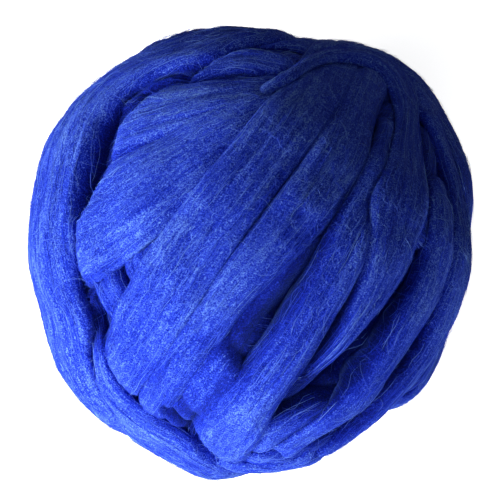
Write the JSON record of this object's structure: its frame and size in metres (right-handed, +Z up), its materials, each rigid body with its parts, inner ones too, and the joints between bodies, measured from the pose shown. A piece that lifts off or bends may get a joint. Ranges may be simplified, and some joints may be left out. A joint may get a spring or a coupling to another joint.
{
  "type": "ball of wool roving",
  "caption": "Loosely wound ball of unspun wool roving: broad soft straps and twists laid over one another round the ball, with a small flat spot to rest on.",
  "frame": {"origin": "middle of the ball's footprint, on the plane of the flat spot that it rests on", "axes": "+Z up from the flat spot through the ball, +Y along the longer width, towards the end where the rope-like outer turn crosses the crown, +X to the right of it, towards the narrow side straps"},
  "size_m": [0.196, 0.2004, 0.189],
  "materials": {
    "wool": "matte"
  },
  "bodies": {
    "root": {"roving_ball": "wool"}
  },
  "joints": []
}
